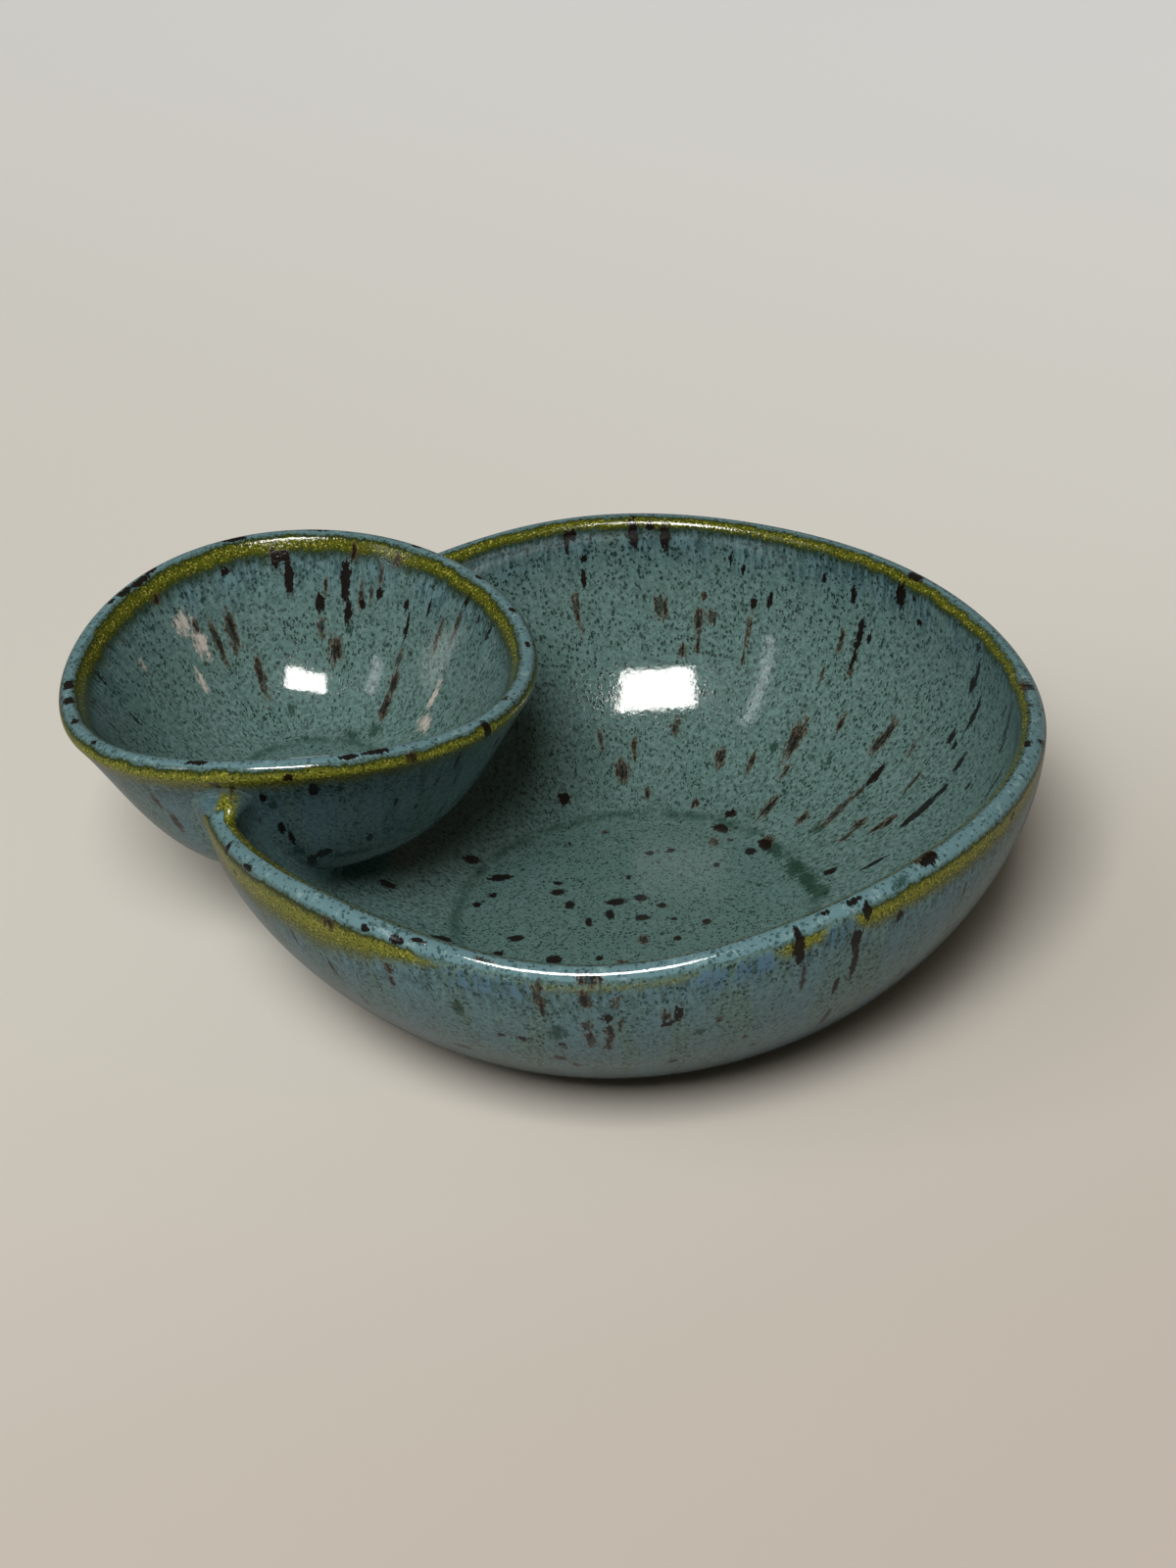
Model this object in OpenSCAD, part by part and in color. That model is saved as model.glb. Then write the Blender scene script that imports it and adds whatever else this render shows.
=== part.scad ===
// Olive dish: a hand-thrown stoneware dish with a small bowl for the pits
// luted into a notch in its wall, on a low bare foot ring.
// Millimetres, Z up. The part stands on Z = 0 with the pit bowl toward -X,
// and the origin lies under the middle of its outer box.

/* [Dish] */
// Radius from the dish's axis to the middle of its lip
main_lip_r = 78; // [60:1:110]
// Height of the middle of the dish's lip above the table
main_lip_h = 49.6; // [40:0.1:70]
// Thickness of the dish's rounded lip
main_lip_t = 5.2; // [3.5:0.1:8]
// Lean of the dish's wall from upright at the lip, in degrees
main_lip_lean = 4; // [0:1:20]
// Radius where the dish's outer wall leaves its flat base
main_base_r = 42; // [39.5:0.5:50]
// Rise of the outer wall from level at the base, in degrees
main_base_slope = 10; // [2:1:30]
// Radius of the well in the middle of the dish's floor
main_floor_r = 35; // [28:0.5:45]
// Thickness of the dish's floor in the well
main_floor_t = 4.8; // [3.5:0.1:8]
// Rise of the inner wall from level at the well's edge, in degrees
main_floor_slope = 12; // [4:1:30]
// Depth of the well's edge below the start of the inner wall
well_d = 0.7; // [0.3:0.1:2]
// Width of the rounded step round the well
well_w = 2.4; // [1:0.1:5]
// How far the dish's rim rises and dips as thrown
main_rim_lift = 1.4; // [0:0.1:3]
// How far the dish's rim is out of round as thrown
main_rim_oval = 0.3; // [0:0.1:2]

/* [Pit bowl] */
// Radius from the pit bowl's axis to the middle of its lip
side_lip_r = 45; // [38:0.2:52]
// Height from the pit bowl's flat base to the middle of its lip
side_depth = 32.9; // [26:0.1:40]
// Thickness of the pit bowl's rounded lip
side_lip_t = 4.4; // [3:0.1:7]
// Lean of the pit bowl's wall from upright at the lip, in degrees
side_lip_lean = 33.5; // [20:0.5:42]
// Radius of the pit bowl's flat base
side_base_r = 21.8; // [17:0.2:27]
// Rise of the outer wall from level at the pit bowl's base, in degrees
side_base_slope = 1; // [0:1:15]
// Thickness of the pit bowl's floor
side_floor_t = 4.8; // [3.5:0.1:8]
// Radius of the level middle of the pit bowl's floor
side_floor_r = 16; // [10:0.5:20]
// How far the pit bowl's rim rises and dips as thrown
side_rim_lift = 2.2; // [0:0.1:4]
// How far the pit bowl's rim is out of round as thrown
side_rim_oval = 1.2; // [0:0.1:3]

/* [Joint] */
// How far the pit bowl's axis stands inside the circle of the dish's lip
side_inset = 12; // [6:0.2:18]
// How far the pit bowl's lip stands above the dish's lip
side_rise = 7.4; // [4:0.1:12]
// Radius of the hollow that a finger leaves in the luting coil
coil_r = 3.4; // [2:0.1:5]
// Thickness of the luting coil along its two edges
coil_edge = 0.35; // [0.2:0.05:0.8]
// Fired joint line between the bowls and the luting coil
slip_gap = 0.3; // [0.2:0.05:0.5]

/* [Foot ring] */
// Height of the foot ring
foot_h = 2.2; // [1.5:0.1:5]
// Outer radius of the foot ring
foot_r = 38; // [30:0.5:42]
// Width of the foot ring where it meets the table
foot_w = 4.5; // [3:0.1:8]
// Chamfer along the foot ring's two lower edges
foot_chamfer = 0.6; // [0.2:0.1:1]

/* [Hidden] */
// Waves left by the potter's hand, as [waves per turn, share, angle of a crest]
main_lift_shares = [[2, 0.53, 144], [3, 0.97, 104], [4, 0.47, 70], [5, 0.54, 36], [6, 0.3, 4]];
main_oval_shares = [[2, 0.75, 139], [3, 1, 78]];
side_lift_shares = [[2, 1, 110], [3, 0.29, 43]];
side_oval_shares = [[2, 1, 140], [3, 0.67, 3]];
// How long the ends of each wall curve run straight, as shares of the wall's height
main_outer_shares = [0.29, 0.48];
main_inner_shares = [0.5, 0.45];
side_outer_shares = [0.37, 0.45];
side_inner_shares = [0.42, 0.42];
// Columns round each bowl, and steps along each wall and over each lip
main_columns = 96;
side_columns = 72;
main_wall_steps = 11;
side_wall_steps = 9;
lip_steps = 6;
coil_steps = 4;
// Spacing of the luting coil's sections, and the most that its loop may have
pitch_share = 0.65;
coil_pitch = coil_r * pitch_share;
coil_most = 400;
// How close the loop's ends come
loop_share = 0.7;
// Tries at finding the ball's first place
settle_tries = 12;
// Overrun of the notch's cutter above the pit bowl's lip
overrun = 20;
// Sides of the foot ring's circles
$fn = 128;

// Heights and places that follow from the sizes above
main_floor_h = foot_h + main_floor_t;
side_lip_h = main_lip_h + side_rise;
side_base_h = side_lip_h - side_depth;
side_x = side_inset - main_lip_r;

// Sum of a table's waves at angle a, for a largest wave of the given size
function waves(table, size, a) = size * [for (w = table) w[1] * cos(w[0] * (a - w[2]))] * [for (w = table) 1];

// Point at angle a from level, at distance d
function polar(d, a) = d * [cos(a), sin(a)];

// Points of the cubic curve that leaves p at angle pa and arrives at q at angle qa
function curve(p, pa, q, qa, shares, steps) =
    let (h = abs(q[1] - p[1]), p2 = p + polar(shares[0] * h, pa), q2 = q - polar(shares[1] * h, qa))
    [for (i = [0 : steps]) let (t = i / steps, s = 1 - t)
        s * s * s * p + 3 * s * s * t * p2 + 3 * s * t * t * q2 + t * t * t * q];

// Middle of each lip at angle a, as [radius, height]
function main_lip(a) = [main_lip_r + waves(main_oval_shares, main_rim_oval, a),
                        main_lip_h + waves(main_lift_shares, main_rim_lift, a)];
function side_lip(a) = [side_lip_r + waves(side_oval_shares, side_rim_oval, a),
                        side_lip_h + waves(side_lift_shares, side_rim_lift, a)];

// Outer walls from base to lip at angle a, as [radius, height]
function main_outer(a) =
    curve([main_base_r, foot_h], main_base_slope,
          main_lip(a) + polar(main_lip_t / 2, -main_lip_lean), 90 - main_lip_lean,
          main_outer_shares, main_wall_steps);
function side_outer(a, grow) =
    curve([side_base_r, side_base_h - grow], side_base_slope,
          side_lip(a) + polar(side_lip_t / 2 + grow, -side_lip_lean), 90 - side_lip_lean,
          side_outer_shares, side_wall_steps);

// Rounded lip of thickness t round its middle m, from outside to inside
function lip(m, t, lean) =
    [for (i = [1 : lip_steps - 1]) m + polar(t / 2, 180 * i / lip_steps - lean)];

// Inner walls from lip to floor at angle a
function main_inner(a) =
    curve(main_lip(a) - polar(main_lip_t / 2, -main_lip_lean), 270 - main_lip_lean,
          [main_floor_r, main_floor_h + well_d], 180 + main_floor_slope,
          main_inner_shares, main_wall_steps);
function side_inner(a) =
    curve(side_lip(a) - polar(side_lip_t / 2, -side_lip_lean), 270 - side_lip_lean,
          [side_floor_r, side_base_h + side_floor_t], 180,
          side_inner_shares, side_wall_steps);

// Whole sections from the outer base, over the lip, to the edge of the floor
function main_section(a) =
    concat(main_outer(a), lip(main_lip(a), main_lip_t, main_lip_lean), main_inner(a),
           [[main_floor_r - well_w / 2, main_floor_h + well_d / 4], [main_floor_r - well_w, main_floor_h]]);
function side_section(a) =
    concat(side_outer(a, 0), lip(side_lip(a), side_lip_t, side_lip_lean), side_inner(a));

// Section of the notch's cutter: the pit bowl's outside grown by the joint line
function notch_section(a) =
    let (wall = side_outer(a, slip_gap), top = wall[len(wall) - 1])
    concat(wall, [[top[0], side_lip_h + overrun]]);

// Rings of a lofted bowl round an upright axis at x, from its sections by column
function rings(sections, x) =
    [for (j = [0 : len(sections[0]) - 1]) [for (i = [0 : len(sections) - 1])
        let (a = 360 * i / len(sections), p = sections[i][j])
        [x + p[0] * cos(a), p[0] * sin(a), p[1]]]];

// Closed loft over rings, with a middle point in its first and last ring
module loft(r) {
    n = len(r[0]);
    m = len(r);
    middles = [for (e = [r[0], r[m - 1]]) [for (k = [0 : 2]) [for (p = e) p[k]] * [for (p = e) 1 / n]]];
    points = concat([for (e = r) each e], middles);
    sides = [for (j = [0 : m - 2]) for (i = [0 : n - 1])
        let (k = (i + 1) % n, a = j * n + i, b = j * n + k, c = a + n, d = b + n)
        each [[a, c, d], [a, d, b]]];
    first = [for (i = [0 : n - 1]) [m * n, i, (i + 1) % n]];
    last = [for (i = [0 : n - 1]) [m * n + 1, (m - 1) * n + (i + 1) % n, (m - 1) * n + i]];
    polyhedron(points, concat(sides, first, last));
}

// Point of the stretch from a to b that is nearest to p
function near_point(p, a, b) =
    let (d = b - a, t = (p - a) * d / (d * d))
    a + min(1, max(0, t)) * d;

// Distance from q to a section in the plane at angle a, and the way out as a unit vector
function touch(q, section, a) =
    let (spots = [for (i = [1 : len(section) - 1]) near_point(q, section[i - 1], section[i])],
         gaps = [for (s = spots) norm(q - s)],
         least = min(gaps),
         out = [for (i = [0 : len(gaps) - 1]) if (gaps[i] == least) q - spots[i]][0] / least)
    [least, [out[0] * cos(a), out[0] * sin(a), out[1]]];

function touch_main(p) =
    let (a = atan2(p[1], p[0]))
    touch([norm([p[0], p[1]]), p[2]], main_section(a), a);
function touch_side(p) =
    let (x = p[0] - side_x, a = atan2(p[1], x))
    touch([norm([x, p[1]]), p[2]], concat([[0, side_base_h]], side_section(a)), a);

// Middle of a ball of radius r where it touches both bowls, found from near p
function settle(p, r, tries) =
    tries == 0 ? p :
    let (m = touch_main(p), s = touch_side(p), c = m[1] * s[1],
         u = r - m[0], v = r - s[0])
    settle(p + ((u - c * v) * m[1] + (v - c * u) * s[1]) / (1 - c * c), r, tries - 1);

// Direction of the corner between the bowls at p
function heading(p) =
    let (h = cross(touch_main(p)[1], touch_side(p)[1]))
    h / norm(h);

// Path of the finger's ball, rolled along the corner until it comes back to its start
function ball_path() =
    let (wall = [for (w = main_inner(180)) if (w[1] > side_base_h) w[0]],
         start = settle([coil_r * 3 - min(wall), 0, side_base_h - coil_r], coil_r, settle_tries))
    [for (i = 0, p = start;
          i < coil_most && (i < coil_steps || norm(p - start) > coil_pitch * loop_share);
          i = i + 1, p = settle(p + coil_pitch * heading(p), coil_r, coil_steps)) p];

// Root of the corner below p, reached with ever smaller balls down to the joint line
function root(p, r) =
    let (next = max(r / 2, 2 * slip_gap), q = settle(p, next, coil_steps))
    next < r ? root(q, next) : q;

// Section of the luting coil in the corner that the ball at p leaves hollow
function coil_section(p) =
    let (m = touch_main(p)[1], s = touch_side(p)[1], r = coil_r - slip_gap)
    concat([root(p, coil_r), p - r * m],
           [for (i = [0 : coil_steps]) let (t = i / coil_steps, d = (1 - t) * m + t * s)
               p - (r - coil_edge) * d / norm(d)],
           [p - r * s]);

// Closed loop over sections that each have as many points
module loop(sections) {
    n = len(sections);
    m = len(sections[0]);
    faces = [for (i = [0 : n - 1]) for (j = [0 : m - 1])
        let (a = i * m + j, b = i * m + (j + 1) % m, k = (i + 1) % n, c = k * m + j, d = k * m + (j + 1) % m)
        each [[a, b, d], [a, d, c]]];
    polyhedron([for (s = sections) each s], faces);
}

// Both bowls as rings, and the middle of their outer box on the table
main_rings = rings([for (i = [0 : main_columns - 1]) main_section(360 * i / main_columns)], 0);
side_rings = rings([for (i = [0 : side_columns - 1]) side_section(360 * i / side_columns)], side_x);
notch_rings = rings([for (i = [0 : side_columns - 1]) notch_section(360 * i / side_columns)], side_x);
spots = [for (r = concat(main_rings, side_rings)) each r];
middle = [for (k = [0, 1]) (min([for (p = spots) p[k]]) + max([for (p = spots) p[k]])) / 2];

// Everything is made round the dish's axis and set down over the origin
module place() {
    translate([-middle[0], -middle[1], 0]) children();
}

// The dish, with its wall notched to seat the pit bowl
module main_bowl() {
    color("#4f7f86") place() difference() {
        loft(main_rings);
        loft(notch_rings);
    }
}

// The pit bowl, whole
module side_bowl() {
    color("#5f8f98") place() loft(side_rings);
}

// The coil of clay pressed into the corner all round the notch
module luting_coil() {
    color("#3f6a58") place() loop([for (p = ball_path()) coil_section(p)]);
}

// The bare foot ring under the dish
module foot_ring() {
    color("#b59b7c") place() rotate_extrude() polygon([
        [foot_r - foot_w, foot_h], [foot_r - foot_w, foot_chamfer],
        [foot_r - foot_w + foot_chamfer, 0], [foot_r - foot_chamfer, 0],
        [foot_r, foot_chamfer], [foot_r, foot_h]]);
}

main_bowl();
side_bowl();
luting_coil();
foot_ring();
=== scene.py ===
# %% [markdown]
# # An olive dish with a bowl for the pits
# The real dish is thrown stoneware: a wide dish, a small bowl set into a notch in its wall,
# a coil of clay pressed into the corner between them, and a bare foot ring.
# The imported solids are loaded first, because every piece here has to sit where they sit.

import math
from dataclasses import dataclass
from types import SimpleNamespace

import bpy
import numpy as np
from mathutils import Matrix, Vector


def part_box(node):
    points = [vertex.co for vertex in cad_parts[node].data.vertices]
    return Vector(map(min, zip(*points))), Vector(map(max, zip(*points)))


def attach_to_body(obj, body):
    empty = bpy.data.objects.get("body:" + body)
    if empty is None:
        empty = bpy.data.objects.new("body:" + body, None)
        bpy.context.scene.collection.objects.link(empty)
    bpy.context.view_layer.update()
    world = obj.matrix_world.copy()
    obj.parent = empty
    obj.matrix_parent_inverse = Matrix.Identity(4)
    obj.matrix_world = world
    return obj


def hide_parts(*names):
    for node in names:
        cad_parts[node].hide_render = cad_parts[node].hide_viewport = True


MM = 0.001


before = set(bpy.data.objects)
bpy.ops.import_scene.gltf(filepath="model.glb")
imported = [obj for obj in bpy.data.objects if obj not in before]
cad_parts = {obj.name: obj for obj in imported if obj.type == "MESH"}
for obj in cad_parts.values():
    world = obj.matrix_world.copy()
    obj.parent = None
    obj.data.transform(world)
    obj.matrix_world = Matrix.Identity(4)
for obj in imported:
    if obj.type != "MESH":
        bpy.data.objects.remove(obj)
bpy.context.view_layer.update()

# %% [markdown]
# ## The two thrown bowls
# A thrown bowl is one section turned round an axis, but a potter's hand leaves waves in the rim.
# A lathe tool would give a perfect circle, so the section is worked out afresh for every angle.
# Each section is two cubic curves, the outer and the inner wall, joined by a half circle at the lip.

# %% Sizes of the bowls, in millimetres and degrees
FOOT_H = 2.2
FLOOR_T = 4.8
SIDE_INSET, SIDE_RISE, SIDE_DEPTH = 12.0, 7.4, 32.9
SLIP_GAP = 0.3
WELL_D, WELL_W = 0.7, 2.4


@dataclass
class Bowl:
    """One thrown bowl. Waves are (waves per turn, share, angle of a crest)."""

    axis: tuple
    lip_r: float
    lip_h: float
    lip_t: float
    lip_lean: float
    base_r: float
    base_h: float
    base_slope: float
    floor_r: float
    floor_h: float
    floor_slope: float
    lift: float
    oval: float
    lift_waves: list
    oval_waves: list
    outer_shares: tuple
    inner_shares: tuple


foot_low, foot_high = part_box("foot_ring")
dish_axis = ((foot_low.x + foot_high.x) / 2 / MM, (foot_low.y + foot_high.y) / 2 / MM)
dish = Bowl(
    axis=dish_axis, lip_r=78, lip_h=49.6, lip_t=5.2, lip_lean=4,
    base_r=42, base_h=FOOT_H, base_slope=10,
    floor_r=35, floor_h=FOOT_H + FLOOR_T + WELL_D, floor_slope=12, lift=1.4, oval=0.3,
    lift_waves=[(2, 0.53, 144), (3, 0.97, 104), (4, 0.47, 70), (5, 0.54, 36), (6, 0.3, 4)],
    oval_waves=[(2, 0.75, 139), (3, 1, 78)],
    outer_shares=(0.29, 0.48), inner_shares=(0.5, 0.45),
)
pit_lip_h = dish.lip_h + SIDE_RISE
pit_base_h = pit_lip_h - SIDE_DEPTH
pit_bowl = Bowl(
    axis=(dish_axis[0] + SIDE_INSET - dish.lip_r, dish_axis[1]),
    lip_r=45, lip_h=pit_lip_h, lip_t=4.4, lip_lean=33.5,
    base_r=21.8, base_h=pit_base_h, base_slope=1,
    floor_r=16, floor_h=pit_base_h + FLOOR_T, floor_slope=0, lift=2.2, oval=1.2,
    lift_waves=[(2, 1, 110), (3, 0.29, 43)],
    oval_waves=[(2, 1, 140), (3, 0.67, 3)],
    outer_shares=(0.37, 0.45), inner_shares=(0.42, 0.42),
)
print("dish axis", dish.axis, "pit bowl axis", pit_bowl.axis)

# %% Sections of a bowl at many angles at once


def polar(reach, angle):
    """A step of that reach at an angle from level, as (outward, upward)."""
    return reach * np.array([math.cos(math.radians(angle)), math.sin(math.radians(angle))])


def waves(table, size, angles):
    return size * sum(share * np.cos(np.radians(n * (angles - crest))) for n, share, crest in table)


def wall(start, leaving, end, arriving, shares, steps):
    """Cubic curves from start to end, one for each angle, with their handles along the two slopes."""
    height = np.abs(end[:, 1] - start[:, 1])[:, None]
    first = start + shares[0] * height * polar(1, leaving)
    last = end - shares[1] * height * polar(1, arriving)
    t = np.linspace(0, 1, steps + 1)[None, :, None]
    s = 1 - t
    return (s**3 * start[:, None] + 3 * s * s * t * first[:, None]
            + 3 * s * t * t * last[:, None] + t**3 * end[:, None])


def section(bowl, angles, wall_steps, lip_steps, grow=0.0):
    """Outer wall, lip and inner wall at each angle, as (radius, height), from the base to the floor."""
    ones = np.ones(len(angles))
    middle = np.stack([bowl.lip_r + waves(bowl.oval_waves, bowl.oval, angles),
                       bowl.lip_h + waves(bowl.lift_waves, bowl.lift, angles)], 1)
    lean, half = bowl.lip_lean, bowl.lip_t / 2
    base = np.stack([bowl.base_r * ones, (bowl.base_h - grow) * ones], 1)
    well = np.stack([bowl.floor_r * ones, bowl.floor_h * ones], 1)
    outer_end, inner_start = middle + polar(half + grow, -lean), middle - polar(half, -lean)
    outer = wall(base, bowl.base_slope, outer_end, 90 - lean, bowl.outer_shares, wall_steps)
    arc = [middle + polar(half, 180 * i / lip_steps - lean) for i in range(1, lip_steps)]
    inner = wall(inner_start, 270 - lean, well, 180 + bowl.floor_slope, bowl.inner_shares, wall_steps)
    return outer, np.stack(arc, 1), inner


SAMPLE_STEPS = 8
sample = section(dish, np.zeros(1), SAMPLE_STEPS, SAMPLE_STEPS)[0]
print("dish section at 0 degrees:", sample[0].round(1).tolist())

# %% [markdown]
# ## Turning sections into a mesh
# Every section is swung to its own angle and neighbours are joined by quads, with one middle point
# at the base and one at the floor. The glaze needs to know how far each point is from the lip,
# so the same walk along the section also measures that distance: positive inside, negative outside.

# %% Mesh of a whole bowl
LIP_STEPS, BASE_RINGS = 20, 6
# The rounded step round the well, as shares of its width and of its depth
WELL_STEP_SHARES = ((0.2, 0.3), (0.4, 0.6), (0.6, 0.82), (0.8, 0.95), (1.0, 1.0))


def flat_rings(radius, height, count, inward):
    """Rings of a level disc between its middle and a radius, as (radius, height) at each angle."""
    shares = np.linspace(0, 1, count + 2)[1:-1]
    shares = shares[::-1] if inward else shares
    return np.stack([radius[:, None] * shares, np.repeat(height[:, None], count, 1)], -1)


def bowl_rows(bowl, angles, wall_steps, floor_rings, well):
    """All rings of a bowl from under its base to its floor, and each point's distance from the lip's crest."""
    outer, arc, inner = section(bowl, angles, wall_steps, LIP_STEPS)
    step = []
    if well:
        ring = inner[:, -1]
        step = [ring + np.array([-WELL_W * in_by, -WELL_D * drop]) for in_by, drop in WELL_STEP_SHARES]
    wet = np.concatenate([inner] + [s[:, None] for s in step], 1)
    edge = wet[:, -1]
    floor = flat_rings(edge[:, 0], edge[:, 1], floor_rings, True)
    base = flat_rings(outer[:, 0, 0], outer[:, 0, 1], BASE_RINGS, False)
    rows = np.concatenate([base, outer, arc, wet, floor], 1)
    lengths = np.linalg.norm(np.diff(rows, axis=1), axis=2)
    along = np.concatenate([np.zeros((len(angles), 1)), np.cumsum(lengths, 1)], 1)
    crest = base.shape[1] + outer.shape[1] + LIP_STEPS // 2 - 1
    return rows, along - along[:, crest:crest + 1]


def swing(bowl, angles, rows):
    """Points in millimetres of sections that stand at those angles round the bowl's axis."""
    turn, radius = np.radians(angles)[:, None], rows[..., 0]
    x, y = bowl.axis[0] + radius * np.cos(turn), bowl.axis[1] + radius * np.sin(turn)
    return np.stack([x, y, rows[..., 1]], -1)


def shown(name, data):
    """A new object in the scene for a mesh, a lamp or a camera."""
    made = bpy.data.objects.new(name, data)
    bpy.context.scene.collection.objects.link(made)
    return made


def lofted(name, points, first, last):
    """A closed mesh over rings of points, columns first, with a middle point at each end."""
    columns, rows = points.shape[:2]
    verts = np.concatenate([points.reshape(-1, 3), [first, last]]) * MM
    c, r = np.meshgrid(np.arange(columns), np.arange(rows - 1), indexing="ij")
    here, there = c * rows + r, (c + 1) % columns * rows + r
    quads = np.stack([here, there, there + 1, here + 1], -1).reshape(-1, 4).tolist()
    i = np.arange(columns)
    begin, end = i * rows, (i + 1) % columns * rows
    low, high = columns * rows, columns * rows + 1
    top = rows - 1
    fans = [[low, b, a] for a, b in zip(begin, end)]
    fans += [[high, a + top, b + top] for a, b in zip(begin, end)]
    mesh = bpy.data.meshes.new(name)
    mesh.from_pydata(verts.tolist(), [], quads + fans)
    mesh.shade_smooth()
    return shown(name, mesh)


def give(piece, name, values):
    """Stores one number or one vector for each point of a piece, for its material to read."""
    kind, field = ("FLOAT", "value") if values.ndim == 1 else ("FLOAT_VECTOR", "vector")
    attribute = piece.data.attributes.new(name, kind, "POINT")
    attribute.data.foreach_set(field, values.astype(np.float32).ravel())


# %% [markdown]
# ## Where the glaze runs
# The glaze breaks pale blue over each lip, pools into an olive band with gold crystals just below it,
# and then runs down the wall in streaks. On the dish the blue lies mostly outside the crest, and on
# the pit bowl mostly inside. Along the dish's outer rim the olive band comes and goes with the angle.

# %% Bands of the glaze from the distance to the lip
LAP_SHARE = 0.8
# How far the blue reaches inside and outside each crest, and how wide the olive is, all in millimetres
DISH_BLUE_IN, DISH_BLUE_OUT, PIT_BLUE_IN, PIT_BLUE_OUT = 0.8, 3.1, 2.4, 0.6
DISH_OLIVE_IN, PIT_OLIVE_IN, PIT_OLIVE_OUT = 2.0, 3.9, 4.4
# How much the olive's width comes and goes round each rim, and the angles where it is widest
DISH_SWAY, PIT_SWAY = 0.7, 0.5
DISH_WIDEST_IN, PIT_WIDEST_IN, PIT_WIDEST_OUT = 110, 150, 250
# Toward the pit bowl olive takes the place of blue: an angle, how fast that fades, and its strength
NEAR_PIT, LIP_END = (218, 18, 1.4), (213, 12, 1.3)
NEAR_PIT_LOSS, LIP_END_LOSS_IN, LIP_END_LOSS_OUT, OLIVE_GAIN = 1.0, 0.8, 1.2, 1.4
# Width of the dish's olive band outside the crest, as (angle, width)
DISH_OLIVE_OUTSIDE = [
    (0, 3.4), (40, 4.6), (90, 3.6), (130, 4.8), (200, 5.6), (228, 7.2), (246, 7.8), (253, 5.4),
    (260, 2.4), (267, 0.3), (274, 0.4), (279, 1.15), (296, 1.15), (300, 0.2), (306, 0.3), (309, 2.3),
    (313, 2.1), (315, 0.2), (317, 0.3), (320, 3.6), (332, 4.2), (346, 3.6), (360, 3.4),
]


def hump(angles, middle, spread, top):
    """1 round a middle angle, falling to 0 on both sides of it."""
    return np.clip(top - np.abs(angles - middle) / spread, 0, 1)


def glaze_bands(bowl, angles, edge):
    """How far a point lies beyond the lip's blue, the olive's width there, and its place on the lapped wall."""
    a = angles % 360
    if bowl is dish:
        near_pit, lip_end = hump(a, *NEAR_PIT), hump(a, *LIP_END)
        inner = DISH_BLUE_IN - NEAR_PIT_LOSS * near_pit - LIP_END_LOSS_IN * lip_end
        outer = DISH_BLUE_OUT - LIP_END_LOSS_OUT * lip_end
        olive_in = DISH_OLIVE_IN + DISH_SWAY * np.cos(np.radians(a - DISH_WIDEST_IN))
        olive_in = olive_in + OLIVE_GAIN * (near_pit + lip_end)
        olive_out = np.interp(a, *np.array(DISH_OLIVE_OUTSIDE).T)
    else:
        inner, outer = PIT_BLUE_IN, PIT_BLUE_OUT
        olive_in = PIT_OLIVE_IN + PIT_SWAY * np.cos(np.radians(2 * (a - PIT_WIDEST_IN)))
        olive_out = PIT_OLIVE_OUT + PIT_SWAY * np.cos(np.radians(2 * (a - PIT_WIDEST_OUT)))
    beyond = np.where(edge > 0, edge - inner, -edge - outer)
    olive = np.where(edge > 0, olive_in, olive_out)
    turn, lap_r = np.radians(a), LAP_SHARE * bowl.lip_r
    lap = np.stack([lap_r * np.cos(turn), lap_r * np.sin(turn), edge], -1)
    return beyond, olive, lap


print("olive outside the dish is up to", max(width for _, width in DISH_OLIVE_OUTSIDE), "mm wide")

# %% [markdown]
# ## Iron marks
# Iron in the clay bleeds through the glaze as black and brown blotches that run down the wall,
# copper leaves green ones, and a few smears of the glaze stay milky. Noise alone would scatter them
# evenly, so the marks that one notices first are listed, as (angle, distance from the lip,
# length down the wall, width), and the sides that the camera never sees get seeded ones.

# %% Marks listed inside the dish
dish_marks, pit_marks = {}, {}
dish_marks["in_black"] = [
    (105.5, 4.5, 8, 2.0), (115.5, 4, 2.6, 3), (116.2, 6.5, 3, 1.2), (100.7, 5.5, 6, 2.2),
    (102.8, 3, 2, 1.8), (113.7, 9.5, 2, 1.6), (114, 13.8, 4, 1.2), (88, 10.5, 3, 1),
    (90.2, 8.5, 4, 0.8), (83.1, 16, 3.6, 1.2), (85.9, 17.3, 2.6, 1.7), (57.5, 0.2, 2.4, 4),
    (59, 5.8, 5.6, 2.8), (56.3, 5, 2, 1), (54.5, 9, 1.7, 1.6), (68.3, 10, 4.2, 1.6), (74, 8.5, 2, 1.2),
    (65.8, 17.5, 8, 1.8), (63.8, 17.3, 2.6, 1.1), (65.5, 22.5, 4, 1.2), (37.2, 24, 3.6, 1.6),
    (35, 24.5, 2, 1.2), (30.8, 25.8, 5, 1.4), (29.8, 37, 8, 2), (29.5, 31.5, 3, 1.4),
    (34.5, 16.5, 8, 1.6), (38, 12.5, 4, 1.8), (37.6, 9, 6, 1.2), (38.5, 4.5, 2, 1.4), (22, 9, 9, 1.4),
    (21, 14, 5, 1), (25, 9.5, 3, 0.9), (16, 19, 9, 0.9), (4, 0.4, 1.2, 2.6), (0.5, 3.2, 0.8, 2.6),
    (127.5, 60, 3, 2.5), (196.5, 35, 3.5, 1.6), (47.5, 40.5, 6, 1.8), (76, 67.5, 2, 4),
    (57, 66, 2.2, 3.8), (24, 26.5, 3, 1), (30, 41.5, 4, 1.5), (24, 51, 6, 1), (29.5, 59.5, 3, 1.6),
]
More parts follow.
